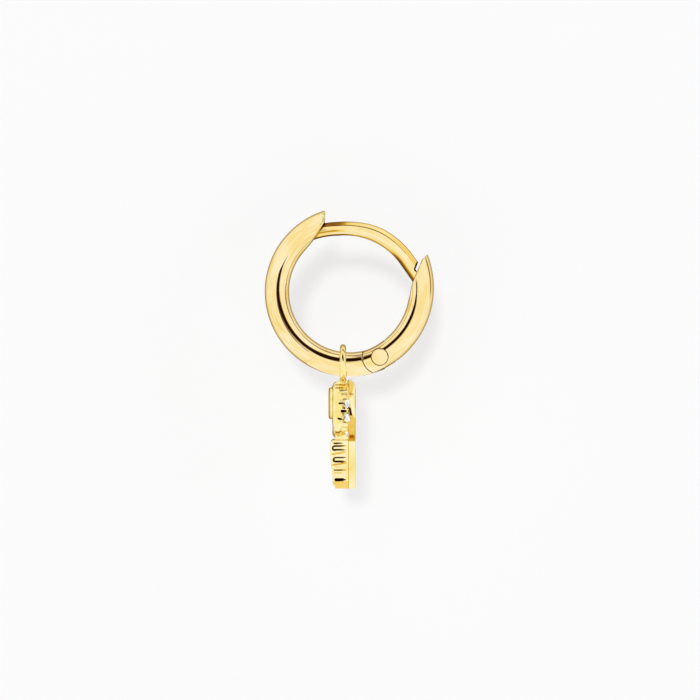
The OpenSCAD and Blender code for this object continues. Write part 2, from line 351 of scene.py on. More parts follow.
def lofted(name, rings, endless=False):
    """A solid through rings of points, all with as many points: capped, or joined to its own start."""
    shape = bmesh.new()
    rows = [[shape.verts.new(p) for p in ring] for ring in rings]
    following = rows[1:] + rows[:1] if endless else rows[1:]
    for low, high in zip(rows, following):
        for i in range(len(low)):
            j = (i + 1) % len(low)
            shape.faces.new((low[i], low[j], high[j], high[i]))
    if not endless:
        shape.faces.new(rows[0])
        shape.faces.new(rows[-1])
    return solid(name, shape)


def turned(name, profile, place, axis, steps=96):
    """A solid turned about an axis through place: the profile's rows are height and radius."""
    up = Vector(axis).normalized()
    side = Vector((0, 0, 1)) if abs(up.z) < 0.5 else TO_BACK
    other = up.cross(side)
    turns = even_steps(2 * pi, steps)[:-1]
    rings = [[place + up * height + r * (side * cos(t) + other * sin(t)) for t in turns]
             for height, r in profile]
    return tidied(lofted(name, rings))


def combined(piece, *others, operation="UNION"):
    """Adds solids to a piece, cuts them from it or keeps what they share, and removes them."""
    for other in others:
        step = piece.modifiers.new("step", "BOOLEAN")
        step.operation = operation
        step.solver = "MANIFOLD"
        step.object = other
        baked(piece)
        bpy.data.meshes.remove(other.data)
    return piece


def cut(piece, *others):
    return combined(piece, *others, operation="DIFFERENCE")


def shared(piece, *others):
    return combined(piece, *others, operation="INTERSECT")


def round_rim(height, r, soft):
    """Rows of a profile round the rim of a flat end."""
    return [(height - soft * (1 - sin(t)), r - soft * (1 - cos(t))) for t in even_steps(pi / 2, 6)]


def bar(name, place, r, low, high, steps=96):
    """A round bar across the hoop between two heights along Y."""
    return turned(name, [(low, r), (high, r)], place, ACROSS, steps)


def plane_block(name, place, angle, x, z, y):
    """A block in the hoop's plane: x outwards at the angle from place, z along, y across."""
    u, v = out(angle), along(angle)
    corners = [(x[0], z[0]), (x[1], z[0]), (x[1], z[1]), (x[0], z[1])]
    rings = [[place + u * a + v * b + ACROSS * (side * y / 2) for a, b in corners] for side in (-1, 1)]
    return lofted(name, rings)


def tube_arc(name, centre, r, middle, span):
    """A short stretch of round tube bent about a centre."""
    turns = even_steps(2 * pi, AROUND_ROWS)[:-1]
    rings = [[centre + out(middle - span + gone) * (r + TUBE_R * cos(t)) + ACROSS * TUBE_R * sin(t)
              for t in turns] for gone in even_steps(2 * span, 32)]
    return lofted(name, rings)


def grown(name, tree, **sizes):
    """Runs a geometry tree with the named sizes and keeps the result as a plain mesh."""
    piece = new_piece(name, bpy.data.meshes.new(name))
    step = piece.modifiers.new("grow", "NODES")
    step.node_group = tree
    for item in tree.interface.items_tree:
        if item.in_out == "INPUT" and item.name in sizes:
            step[item.identifier] = float(sizes[item.name])
    return baked(piece)


def new_tree(name, sizes):
    """An empty geometry tree with the named sizes as inputs, and a wire for each."""
    tree = bpy.data.node_groups.new(name, "GeometryNodeTree")
    for size in sizes:
        tree.interface.new_socket(size, in_out="INPUT", socket_type="NodeSocketFloat")
    tree.interface.new_socket("Geometry", in_out="OUTPUT", socket_type="NodeSocketGeometry")
    net = Net(tree)
    inputs = tree.nodes.new("NodeGroupInput")
    return net, SimpleNamespace(**{size: Wire(net, inputs.outputs[size]) for size in sizes})


def end_tree(net, shape, material):
    """Realizes the shape, gives it its material and hands it out."""
    real = net.add("GeometryNodeRealizeInstances", {"Geometry": shape})
    done = net.add("GeometryNodeSetMaterial", {"Geometry": real, "Material": material})
    net.add("NodeGroupOutput", {"Geometry": done})
    return net.tree


def plated(piece, material, recess=None, test=None):
    """Gives the piece its material, and another one to the faces whose middle and normal pass a test."""
    piece.data.materials.clear()
    piece.data.materials.append(material)
    # The second material paints shade on the faces that pass the test
    if recess:
        piece.data.materials.append(recess)
    for face in piece.data.polygons:
        face.material_index = int(bool(recess) and test(face.center, face.normal))


def mark_painted_shade(piece, value):
    """Stores at each point how much painted shade and painted reflection it gets, for the finish to read."""
    depth = piece.data.attributes.new("recess", "FLOAT", "POINT")
    depth.data.foreach_set("value", [value(v.co) for v in piece.data.vertices])


def in_place(piece, body, node):
    """Scales a finished piece to metres and lets it stand for its node."""
    piece.data.transform(Matrix.Scale(MM, 4))
    piece.data.update()
    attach(piece, body)
    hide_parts(node)


# Finishes
# Painted shade and painted reflections: open gold, then deep yellow and brown painted reflections between
# parts, then near black painted shade in grooves and gaps
PAINTED_SHADE_TONES = ((0.0, (0.97, 0.82, 0.42, 1)), (0.3, (0.88, 0.61, 0.12, 1)), (0.42, (0.60, 0.34, 0.025, 1)),
                (0.6, (0.31, 0.11, 0.008, 1)), (0.85, (0.04, 0.012, 0.003, 1)),
                (1.0, (0.014, 0.005, 0.002, 1)))
PLATED_TONES = ((0.96, 0.765, 0.36, 1), (0.975, 0.80, 0.42, 1))
CAST_TONES = ((0.96, 0.80, 0.32, 1), (0.98, 0.86, 0.46, 1))


def new_finish(name):
    """A finish under construction: its material, net and shader, and the wire of a place on the piece."""
    material = bpy.data.materials.new(name)
    material.use_nodes = True
    net = Net(material.node_tree)
    return material, net, net.tree.nodes["Principled BSDF"], net.add("ShaderNodeTexCoord").of("Object")


def gold(name, rough, wave, wave_scale, streaks=False, painted_shades=False, tones=PLATED_TONES):
    """Polished gold plate: a gloss that drifts, fine wear, and a surface that waves a little."""
    material, net, shader, where = new_finish(name)
    colour = net.blend(net.noise(where, 420.0, 2.0).between(0.4, 0.6), *tones)
    dull = net.noise(where, 9000.0, 3.0) * 0.04 + rough
    # Painted shade and painted reflections, read from the piece's attribute, darken the colour and dull the
    # gloss
    if painted_shades:
        recess = net.add("ShaderNodeAttribute", out="Fac", attribute_name="recess")
        tone = net.add("ShaderNodeValToRGB", {"Fac": recess}, stops=PAINTED_SHADE_TONES)
        colour = net.blend(recess.between(0.0, 0.15), colour, tone)
        dull = dull + recess * 0.25
    height = net.noise(where, wave_scale, 1.0)
    if streaks:
        x, y, z = net.split(where)
        x = x - hoop_centre.x * MM
        z = z - hoop_centre.z * MM
        r = (x * x + z * z).root()
        round_hoop, round_tube = z.bearing(x), y.bearing(r - HOOP_R * MM)
        height = height * 0.35 + net.noise(net.joined(round_hoop * 0.9, round_tube * 2.2, 0.0), 2.0, 2.0)
    bump = net.add("ShaderNodeBump", {"Height": height, "Strength": 1.0, "Distance": wave * MM})
    net.feed(shader, {"Metallic": 1.0, "Base Color": colour, "Roughness": dull, "Normal": bump})
    return material


def joint_shade_gold():
    """Gold inside joints and slits, painted near black as the shade in those narrow gaps."""
    material, net, shader, where = new_finish("unpolished gold")
    grain = net.noise(where, 12000.0, 2.0)
    colour = net.blend(grain, (0.05, 0.02, 0.004, 1), (0.11, 0.05, 0.012, 1))
    net.feed(shader, {"Metallic": 1.0, "Base Color": colour, "Roughness": grain * 0.2 + 0.4})
    return material


def stone_material():
    """Clear cut stone, patched white and grey-blue as a painted sparkle of its facets."""
    material, net, shader, where = new_finish("cut stone")
    # Painted sparkle: patches of white and grey-blue stand in for the facets' reflections
    painted_sparkle = net.add("ShaderNodeTexVoronoi", {"Vector": where, "Scale": 7000.0}, out="Color")
    share = net.add("ShaderNodeSeparateColor", {0: painted_sparkle})
    colour = net.blend(share.between(0.2, 0.6), (0.60, 0.66, 0.75, 1), (1.0, 1.0, 1.0, 1))
    net.feed(shader, {"Metallic": 0.7, "Roughness": 0.03, "IOR": 2.4, "Base Color": colour})
    return material


# Polished and cast gold take painted shade and painted reflections from their pieces' attribute
polished = gold("polished gold", 0.03, 0.005, 900.0, streaks=True, painted_shades=True)
plain = gold("plain gold", 0.04, 0.002, 900.0)
cast = gold("cast gold", 0.06, 0.010, 1700.0, painted_shades=True, tones=CAST_TONES)
joint_shade = joint_shade_gold()
cut_stone = stone_material()


# Hoop
HALF_SIZES = ("bend", "tube", "gap_edge", "seam_edge", "centre_x", "centre_z", "gap_angle", "gap_side",
              "end_distance", "end_slope", "tip_slope", "end_corner", "pin_angle", "pin_distance",
              "joint_radius", "joint_side", "flat_angle", "flat_distance")
ALONG_ROWS = 240
AROUND_ROWS = 96
CAP_ROWS = 8
EDGE_ROWS = 6


def hoop_half_tree(material):
    """A round tube bent about a centre, with one end cut to the gap and one to the hinge's round joint."""
    net, size = new_tree("hoop half", HALF_SIZES)
    sheet = net.add("GeometryNodeMeshGrid", {
        "Size X": 1.0, "Size Y": 1.0, "Vertices X": ALONG_ROWS + 1, "Vertices Y": AROUND_ROWS + 1})
    sheet_x, sheet_y, _ = net.split(net.add("GeometryNodeInputPosition"))
    row = (sheet_x + 0.5) * ALONG_ROWS
    turn = (sheet_y + 0.5) * (2 * pi)
    from_ends = (row, ALONG_ROWS - row)
    cap_a, cap_b = [(gone / CAP_ROWS).held() for gone in from_ends]
    edge_a, edge_b = [((gone - CAP_ROWS) / EDGE_ROWS).held() * (pi / 2) for gone in from_ends]
    end_rows = CAP_ROWS + EDGE_ROWS
    share = ((row - end_rows) / (ALONG_ROWS - 2 * end_rows)).held()

    inset = size.gap_edge * (1 - edge_a.sin()) + size.seam_edge * (1 - edge_b.sin())
    tube = (size.tube - inset) * cap_a * cap_b
    bend = size.bend + tube * turn.cos()

    start = size.end_distance + size.gap_edge * (1 - edge_a.cos())
    reach = start
    for _ in range(6):
        past = (bend * bend - reach * reach).root() - size.end_corner
        reach = start + (-past).most(0) * size.end_slope + past.most(0) * size.tip_slope
    gap_turn = (reach / bend).arcsin() * size.gap_side + size.gap_angle

    joint = size.joint_radius + size.seam_edge * (1 - edge_b.cos()) * size.joint_side
    far = size.pin_distance
    seam_turn = size.pin_angle - ((bend * bend + far * far - joint * joint) / (2 * bend * far)).arccos()

    angle = gap_turn + (seam_turn - gap_turn) * share
    flat_x = (angle - size.flat_angle).cos() * bend
    flat_z = (angle - size.flat_angle).sin() * bend
    flat_on = flat_z.math("GREATER_THAN", 0.0)
    kept_x = flat_x.most(size.flat_distance) * flat_on + flat_x * (1 - flat_on)
    turned_cos, turned_sin = size.flat_angle.cos(), size.flat_angle.sin()
    x = size.centre_x + kept_x * turned_cos - flat_z * turned_sin
    z = size.centre_z + kept_x * turned_sin + flat_z * turned_cos
    place = net.joined(x, tube * turn.sin(), z)
    bent = net.add("GeometryNodeSetPosition", {"Geometry": sheet, "Position": place})
    closed = net.add("GeometryNodeMergeByDistance", {"Geometry": bent, "Distance": MERGE})
    return end_tree(net, closed, material)


half_tree = hoop_half_tree(polished)
NO_FLAT = -100.0


def hoop_half(name, centre, bend, **own):
    """One half of the hoop from the sizes that both share and its own."""
    return tidied(grown(name, half_tree, bend=bend, tube=TUBE_R, seam_edge=SEAM_EDGE, centre_x=centre.x,
                        centre_z=centre.z, gap_angle=radians(GAP_ANGLE),
                        pin_distance=(pin_place - centre).length, **own))


def tongue():
    """The middle of the hinge, on the front half: a round end flush with the arm, and its neck."""
    span = TUBE_SPAN * degrees(JOINT_R / HOOP_R)
    piece = bar("tongue", pin_place, JOINT_R, -TONGUE_T / 2, TONGUE_T / 2)
    shared(piece, tube_arc("arm's tube", arm_centre, ARM_R, pin_on_arm, span))
    neck = plane_block("tongue neck", pin_place, PIN_ANGLE, (-2, 2), (-JOINT_R - NECK_LAP, 0), TONGUE_T)
    shared(neck, tube_arc("front tube", hoop_centre, HOOP_R, PIN_ANGLE, span))
    shared(neck, bar("neck end", pin_place, JOINT_R + NECK_FIT, -TONGUE_T, TONGUE_T))
    return combined(piece, neck)


# The post's section: share of its thickness from the inner side, and of its half width
POST_SECTION = ((0.0, 0.5), (0.07, 0.76), (0.2, 0.92), (0.42, 1.0), (0.7, 1.0), (1.0, 0.42))


def post_ring(place, outwards, low, high, half, corner=0.06):
    """Outline across the post: bevelled outer edges, a rounded inner side and soft corners."""
    steps, flats = 4, 5
    corners = [(low + (high - low) * t, half * w) for t, w in POST_SECTION]
    corners += [(x, -y) for x, y in reversed(corners)]
    spots = []
    for i, spot in enumerate(corners):
        here = Vector(spot)
        before = Vector(corners[i - 1]) - here
        after = Vector(corners[(i + 1) % len(corners)]) - here
        soft = min(corner, 0.45 * before.length, 0.45 * after.length)
        before.normalize()
        after.normalize()
        spots.append([here + before * soft * (1 - k / steps) ** 2 + after * soft * (k / steps) ** 2
                      for k in range(steps + 1)])
    ring = []
    for i, arc in enumerate(spots):
        following = spots[(i + 1) % len(spots)][0]
        ring += arc + [arc[-1].lerp(following, k / flats) for k in range(1, flats)]
    return [place + outwards * spot.x + ACROSS * spot.y for spot in ring]


def post_filed(angle):
    """How much is filed off the post's outer side: less towards its free end."""
    return POST_FILED * step_between(angle, *FILED_ANGLES) - POST_PROUD


def post_lift(angle):
    """How far the post rises off its arc towards its root."""
    past = max(0.0, angle - LIFT_ANGLE) / (front_end_angle - LIFT_ANGLE)
    return POST_LIFT * past ** 1.2


def notch_place():
    """Middle of the notch's round bottom, its way along the post's straight end, and the notch's middle."""
    middle = -END_OFFSET + NOTCH_W / 2
    base = post_centre + end_out * (post_in + THIN_T + NOTCH_W / 2)
    slide = (middle - (base - hoop_centre).dot(gap_along)) / end_along.dot(gap_along)
    return base + end_along * slide, slide, middle


def post_notch():
    """The round-bottomed notch that the arm's end snaps to, and the room past it that thins the post."""
    far = 3 * POST_T
    bottom, slide, middle = notch_place()
    deep = (bottom - hoop_centre).dot(gap_out)
    slot = plane_block("notch", hoop_centre, GAP_ANGLE, (deep, deep + far),
                       (middle - NOTCH_W / 2, middle + NOTCH_W / 2), 2 * POST_W)
    ends = bar("notch end", bottom, NOTCH_W / 2, -POST_W, POST_W, 32)
    past = plane_block("thin room", post_centre, POST_STRAIGHT_ANGLE, (post_in + THIN_T, post_in + far),
                       (-slide - far, -slide), 2 * POST_W)
    made = [slot, ends, past]
    for side in (-1, 1):
        place = hoop_centre + ACROSS * side * (POST_THIN_W / 2 + POST_W)
        made.append(plane_block("side room", place, GAP_ANGLE, (0, 2 * HOOP_R),
                                (-END_OFFSET - far, -END_OFFSET + 0.02), 2 * POST_W))
    return made


def ear_post():
    """The curved post: soldered into the front half, notched near its free end."""
    rings = []
    first, last = front_end_angle + POST_ROOT_ANGLE, POST_STRAIGHT_ANGLE
    for gone in even_steps(last - first, POST_ROWS):
        angle = first + gone
        near_root = max(0.0, 1 - abs(angle - front_end_angle + FLARE_PAST) / FLARE_SPAN)
        lift = post_lift(angle)
        high = post_out - post_filed(angle) + lift + FLARE * near_root ** 2
        rings.append(post_ring(post_centre, out(angle), post_in + lift, high, POST_W / 2))
    rows = [(0.05 * k, 0) for k in range(1, 31)] + [(POST_L - 0.1, 0), (POST_L - 0.03, 0.02), (POST_L, 0.08)]
    for gone, shy in rows:
        high = post_out - post_filed(last) - shy
        place = post_centre + end_along * gone
        rings.append(post_ring(place, end_out, post_in + shy, high, POST_W / 2 - shy))
    return cut(tidied(lofted("ear_post", rings)), *post_notch())


def front_end_gap(place):
    """Distance of a place past the front half's cut end, into the gap."""
    gone = place - hoop_centre
    q = gone.dot(gap_out)
    end = END_DISTANCE + max(END_CORNER - q, 0) * END_SLOPE + max(q - END_CORNER, 0) * TIP_SLOPE
    return end - gone.dot(gap_along)


def post_painted_shade(place):
    """How much painted shade and painted reflection the post gets round its root, along its edges and on the
    notch's walls.
    """
    gone = place - post_centre
    angle = degrees(atan2(gone.z, gone.x))
    r = hypot(gone.x, gone.z)
    if angle < POST_STRAIGHT_ANGLE:
        r = gone.dot(end_out)
    gap = front_end_gap(place)
    on_post = 5 < angle < 125 and post_in - 0.1 < r < post_out + 0.3 and abs(place.y) < POST_W / 2 + 0.03
    if not on_post or gap < -0.02:
        return 0.0
    lift = post_lift(angle)
    up = (r - lift - post_in) / (post_out - post_filed(angle) - post_in)
    left, right = step_between(angle, 80, 98), 1 - step_between(angle, 45, 66)
    # Painted shade round the root; painted reflection lines along the bevel, edges, side and underside, and
    # a painted dark band low on the free end
    root_shade = (1 - step_between(gap, 0.02, 0.24)) * (0.5 + 0.3 * near_to(up, 0.95, 0.3, 0.2))
    bevel = step_between(up, 0.69, 0.73) * (0.10 + 0.12 * right + 0.48 * left)
    edge = step_between(up, 0.88, 0.96) * (0.36 + 0.10 * right + 0.24 * left)
    line = near_to(up, 0.715, 0.015, 0.03) * (0.34 + 0.28 * left)
    fine = near_to(up, 0.815, 0.008, 0.025) * 0.42 * right
    streak = near_to(up, 0.335, 0.035, 0.09) * 0.44 * step_between(angle, 84, 99)
    under = (1 - step_between(up, 0.05, 0.14)) * (0.38 + 0.36 * left)
    band = (1 - step_between(up, 0.03, 0.36)) * 0.74 * (1 - step_between(angle, 36, 60))
    bottom, _, middle = notch_place()
    off_wall = (place - hoop_centre).dot(gap_along) - middle - NOTCH_W / 2
    past_bottom = (place - bottom).dot(gap_out)
    from_bottom = hypot(place.x - bottom.x, place.z - bottom.z) - NOTCH_W / 2
    # Painted shade on the notch's wall and its round floor
    wall = near_to(off_wall, 0.0, 0.10, 0.05) * (past_bottom > 0)
    floor = near_to(from_bottom, 0.0, 0.10, 0.05) * (past_bottom < 0.05)
    return max(root_shade, bevel, edge, line, fine, streak, under, band, 0.95 * wall, 0.95 * floor)


def from_pin(centre):
    """Distance of a point from the pin's axis."""
    return hypot(centre.x - pin_place.x, centre.z - pin_place.z)


def in_joint(centre, normal):
    """True for the hidden walls of the joint: its round wall and the tongue's flat sides."""
    wall = abs(from_pin(centre) - JOINT_R - HALF_GAP) < 0.01 and abs(normal.y) < 0.1
    flat = from_pin(centre) < JOINT_R + HALF_GAP and abs(normal.y) > 0.98 and abs(centre.y) < TUBE_R - 0.1
    return wall or flat


def hoop_front():
    """The front half with the hinge's tongue and the ear post, all one piece of metal."""
    piece = hoop_half(
        "hoop_front_gold", hoop_centre, HOOP_R, gap_edge=FRONT_EDGE, gap_side=1, end_distance=END_DISTANCE,
        end_slope=END_SLOPE, tip_slope=TIP_SLOPE, end_corner=END_CORNER, pin_angle=radians(PIN_ANGLE),
        joint_radius=JOINT_R + HALF_GAP, joint_side=1, flat_angle=0, flat_distance=NO_FLAT)
    combined(piece, tongue(), ear_post())
    cut(piece, bar("shank hole", pin_place, SHANK_D / 2 + SHANK_PLAY, -TONGUE_T, TONGUE_T, 48))
    tidied(piece)
    # Painted shade: near-black gold on the joint's hidden walls, and painted shade and painted reflection
    # lines on the post
    plated(piece, polished, joint_shade, in_joint)
    mark_painted_shade(piece, post_painted_shade)
    in_place(piece, "front", "hoop_front")


def hinge_arm():
    """The back half, hollowed for the tongue, the pin and the ear post."""
    past_centre = (arm_centre - hoop_centre).dot(gap_out)
    piece = hoop_half(
        "hinge_arm_gold", arm_centre, ARM_R, gap_edge=ARM_EDGE, gap_side=-1, end_distance=arm_end_distance,
        end_slope=0, tip_slope=ARM_TIP_SLOPE, end_corner=ARM_TIP_CORNER - past_centre,
        pin_angle=radians(pin_on_arm), joint_radius=JOINT_R, joint_side=-1,
        flat_angle=radians(END_FLAT_ANGLE), flat_distance=ARM_R - TUBE_R)
    head_in = TUBE_R + HEAD_PROUD - HEAD_T
    past = 1.2 * TUBE_R
    slot_end = -POST_L - SLOT_PLAY
    room = TONGUE_T / 2 + HALF_GAP
    cut(piece,
        bar("tongue room", pin_place, JOINT_R + HALF_GAP, -room, room),
        bar("shank room", pin_place, SHANK_D / 2 + 0.01, -past, past),
        bar("head room", pin_place, HEAD_D / 2 + HEAD_GROOVE, head_in, past),
        bar("far head room", pin_place, HEAD_D / 2 + HEAD_GROOVE, -past, -head_in),
        plane_block("post room", post_centre, POST_STRAIGHT_ANGLE, (0, post_in + THIN_T + SLOT_PLAY),
                    (slot_end, 0), POST_THIN_W + 2 * SLOT_PLAY))
    tidied(piece)

    # Painted shade: near-black gold round the pin's heads and on the tongue's sides
    def gets_joint_shade(centre, normal):
        near_pin = from_pin(centre) < HEAD_D / 2 + HEAD_GROOVE + 0.005
        tongue_side = abs(abs(centre.y) - room) < 0.01 and abs(normal.y) > 0.98 and from_pin(centre) < 1.6
        return near_pin or tongue_side

    plated(piece, polished, joint_shade, gets_joint_shade)
    in_place(piece, "arm", "hinge_arm")


def hinge_pin():
    """A rivet with a flat head at each side, its rims rounded."""
    end, r = TUBE_R + HEAD_PROUD, HEAD_D / 2
    rim = round_rim(end, r, HEAD_CORNER) + [(end, 0.97 * (r - HEAD_CORNER)), (end, 0.5 * r)]
    rows = [(-h, q) for h, q in reversed(rim)]
    under = end - HEAD_T
    rows += [(-under, r), (-under, SHANK_D / 2), (under, SHANK_D / 2), (under, r)]
    rows += rim
    piece = turned("hinge_pin_gold", rows, pin_place, ACROSS)
    plated(piece, plain)
    in_place(piece, "arm", "hinge_pin")


# Charm
def bail_ring():
    """The closed ring, its wire rounded on the outside."""
    half, edge = BAIL_W / 2, 0.05
    rows = [(edge - half, bail_in), (-half, bail_in + edge)]
    rows += [(-half * cos(t), bail_out - half * (1 - sin(t))) for t in even_steps(pi, 10)]
    rows += [(half, bail_in + edge), (half - edge, bail_in)]
    rings = [[bail_place + Vector((h, r * sin(t), r * cos(t))) for h, r in rows]
             for t in even_steps(2 * pi, 128)[:-1]]
    return lofted("ring", rings, endless=True)


def back_plate():
    """The round plate; its back leans forward at the top in a curve across its whole width."""
    soft = 0.05
    rows = [(0, CAP_R), (0, PLATE_R - 2 * soft), (0.6 * soft, PLATE_R - 0.6 * soft), (2 * soft, PLATE_R),
            (PLATE_T - 2 * soft, PLATE_R), (PLATE_T - soft / 2, PLATE_R - soft),
            (PLATE_T, PLATE_R - 3 * soft), (PLATE_T, CAP_R)]
    piece = turned("plate", rows, Vector((plate_x, 0, disc_z)), TO_BACK, 160)
    curve = Vector((plate_x + PLATE_T - CROWN_R, 0, disc_z + PLATE_R - CROWN_DROP))
    outline = [(3, -2 * PLATE_R), (3, 3), (-1, 3), (-1, CROWN_R + 0.01)]
    outline += [(CROWN_R * sin(t), CROWN_R * cos(t)) for t in even_steps(pi / 2, 32)]
    outline += [(CROWN_R, -2 * PLATE_R)]
    rings = [[curve + Vector((x, y, z)) for x, z in outline] for y in (-3, 3)]
    return cut(piece, lofted("behind", rings))


def drum():
    rows = [(-0.02, CAP_R), (-0.02, DRUM_R)] + round_rim(DRUM_T, DRUM_R, DRUM_ROUND) + [(DRUM_T, CAP_R)]
    return turned("drum", rows, Vector((plate_x, 0, disc_z)), -TO_BACK, 160)


LOBE_SIZES = ("count", "ring_radius", "lobe_radius", "lobe_length")


def lobe_tree(material):
    """Round-ended lobes set evenly round the rosette, pointing to its front."""
    net, size = new_tree("lobes", LOBE_SIZES)
    ring = net.add("GeometryNodeMeshCircle", {"Vertices": size.count, "Radius": size.ring_radius},
                   fill_type="NONE")
    ball = net.add("GeometryNodeMeshUVSphere",
                   {"Segments": 32, "Rings": 16, "Radius": size.lobe_radius})
    _, _, z = net.split(net.add("GeometryNodeInputPosition"))
    drop = net.joined(0.0, 0.0, -z.math("LESS_THAN", 0.0) * size.lobe_length)
    lobe = net.add("GeometryNodeSetPosition", {"Geometry": ball, "Offset": drop})
    several = net.add("GeometryNodeInstanceOnPoints", {"Points": ring, "Instance": lobe})
    return end_tree(net, several, material)


def lobes():
    piece = grown("lobes", lobe_tree(cast), count=LOBE_COUNT, ring_radius=LOBE_RING_R, lobe_radius=LOBE_R,
                  lobe_length=DRUM_T - LOBE_R)
    place = Matrix.Translation(Vector((drum_front_x + LOBE_R - 0.04, 0, disc_z)))
    turn = Matrix.Rotation(radians(-90), 4, "Y")
    piece.data.transform(place @ turn)
    return piece


def boss():
    """A low round boss on the rosette's front, a little above its middle."""
    rows = [(-0.05, BOSS_R), (BOSS_H - 0.14, BOSS_R), (BOSS_H - 0.06, BOSS_R - 0.03),
            (BOSS_H - 0.02, BOSS_R - 0.1), (BOSS_H, BOSS_R - 0.3), (BOSS_H + 0.01, 0.3)]
    return turned("boss", rows, Vector((drum_front_x, 0, disc_z + BOSS_LIFT)), -TO_BACK, 128)


# The block's front outline, from its base up: forward of the plate's face, and height above the base
BLOCK_FRONT = ((1.0, 0), (1.0, 0.18), (1.19, 0.34), (1.235, 0.95), (1.3, 1.73), (1.37, 2.3), (1.39, 2.6),
               (1.39, 3.42), (1.33, 3.6), (1.2, BLOCK_H))


def block_half(height):
    """Half the block's width at a height above its base."""
    return (BLOCK_BASE_W + (BLOCK_W - BLOCK_BASE_W) * height / BLOCK_H) / 2


def block():
    """The block below the rosette: slanted sides, a softly stepped front and a flat back."""
    outline = [(-PLATE_T, BLOCK_H), (-PLATE_T, 0)] + list(BLOCK_FRONT)
    rings = [[Vector((plate_x - f, side * block_half(h), block_base + h)) for f, h in outline]
             for side in (-1, 1)]
    return lofted("block", rings)


def neck():
    """The metal between the rosette and the block."""
    return plane_block("neck", Vector((plate_x, 0, block_top)), 0, NECK_X, NECK_Z, NECK_W)


def side_at(height):
    """Half the charm's width where its side is grooved, at a height above its base."""
    z = block_base + height
    if z < block_top:
        return block_half(height)
    return sqrt(max(0.0, DRUM_R ** 2 - (z - disc_z) ** 2))


# Grooves in the charm's sides. Each row: forward of the plate's face at the front end and the back end,
# height above the base at both, width, depth, and how much shade is painted on its walls and its floor, up
# to 1.
GROOVES = (
    (1.14, 0.37, 3.47, 3.47, 0.10, 0.10, 0.75, 0.75),
    (1.26, 0.00, 3.10, 3.12, 0.37, 0.26, 1.00, 0.00),
    (1.30, 0.03, 2.62, 2.83, 0.15, 0.05, 0.25, 0.35),
    (1.18, 0.02, 2.22, 2.23, 0.39, 0.28, 1.00, 0.00),
    (1.26, 0.02, 1.79, 1.99, 0.15, 0.05, 0.25, 0.40),
    (1.03, 0.18, 1.64, 1.67, 0.07, 0.04, 0.25, 0.25),
    (1.11, 0.10, 1.42, 1.43, 0.11, 0.10, 0.80, 0.35),
    (1.12, 0.10, 1.20, 1.21, 0.07, 0.04, 0.35, 0.35),
    (1.04, 0.03, 0.92, 0.93, 0.20, 0.06, 0.00, 0.00),
    (1.04, 0.19, 0.69, 0.67, 0.22, 0.26, 1.00, 1.00),
    (0.99, 0.26, 7.93, 7.93, 0.09, 0.12, 0.45, 0.45),
    (0.95, 0.30, 7.70, 7.70, 0.09, 0.10, 0.50, 0.50),
    (0.75, 0.18, 6.54, 6.53, 0.12, 0.25, 1.00, 1.00),
    (0.57, 0.09, 5.95, 5.94, 0.19, 0.30, 1.00, 1.00),
    (0.80, 0.37, 5.40, 5.28, 0.14, 0.25, 1.00, 1.00),
    (0.97, 0.79, 4.33, 4.23, 0.10, 0.12, 0.65, 0.65),
    (0.81, 0.48, 4.23, 4.42, 0.10, 0.12, 0.65, 0.65),
    (0.91, 0.48, 4.02, 4.02, 0.10, 0.12, 0.55, 0.55),
)
GROOVE_STEPS = 10


def groove(side, front, back, low, high, wide, deep, *_):
    """A round-bottomed channel in the charm's side with round ends."""
    rings = []
    run = front - back
    for way in even_steps(pi, 2 * GROOVE_STEPS):
        share = (1 - cos(way)) / 2
        gone = run * share
        near_end = min(gone, run - gone) / (wide / 2)
        grow = max(0.06, sqrt(1 - (1 - min(1.0, near_end)) ** 2))
        height = low + (high - low) * share
        half_wide, half = wide / 2 * grow, side_at(height)
        depth = deep * grow * (1 - 0.85 * step_between(share, 0.5, 1.0))
        ring = [(half - depth * sin(t) ** 0.6, height + half_wide * cos(t))
                for t in even_steps(pi, 12)]
        ring += [(half + 0.4, height - half_wide * 1.3), (half + 0.4, height + half_wide * 1.3)]
        rings.append([Vector((plate_x - front + gone, side * y, block_base + z)) for y, z in ring])
    return lofted("groove", rings)


def groove_painted_shade(x, y, height):
    """How much shade is painted on a place on the charm's side for the groove that it lies in."""
    darkest = 0.0
    inside = side_at(height) - abs(y)
    for front, back, low, high, wide, _, walls, floor in GROOVES:
        gone = x - (plate_x - front)
        run = front - back
        if not -0.03 < gone < run + 0.03 or inside < 0.01:
            continue
        across = abs(height - low - (high - low) * gone / run) / (wide / 2)
        late = step_between(gone / run, 0.35, 1.0)
        if across > 1.3 or (floor > 0.5 and across > 1.15 - 0.75 * late):
            continue
        end = 1 - gone / (wide / 2)
        edge = max(step_between(across, 0.45, 0.8), step_between(end, 0.1, 0.5))
        fade = 1 - late if floor < walls else 1
        darkest = max(darkest, floor + (walls - floor) * edge * fade)
    # The front of the block below its base step is painted a little darker
    if height < 0.56 and x < plate_x:
        darkest = max(darkest, 0.26)
    return darkest


def ball_rows(r, count, shy):
    """A ball's profile from pole to pole; it stops short of each by a share of a step."""
    turns = [pi * (i + shy) / (count - 1 + 2 * shy) for i in range(count)]
    return [(-r * cos(t), r * sin(t)) for t in turns]


# Pads on the rosette's side: forward of the plate's face, height above the base, half length and half height
PADS = ((0.76, 7.10, 0.20, 0.30), (0.83, 4.68, 0.28, 0.29))


def pad(side, front, height, long, high):
    """A smooth oval swelling on the rosette's side."""
    place = Vector((plate_x - front, side * (side_at(height) - PAD_SINK), block_base + height))
    piece = turned("pad", ball_rows(1, 25, 0.3), Vector(), ACROSS, 48)
    piece.data.transform(Matrix.Translation(place) @ Matrix.Diagonal((long, PAD_PROUD, high, 1)))
    return piece


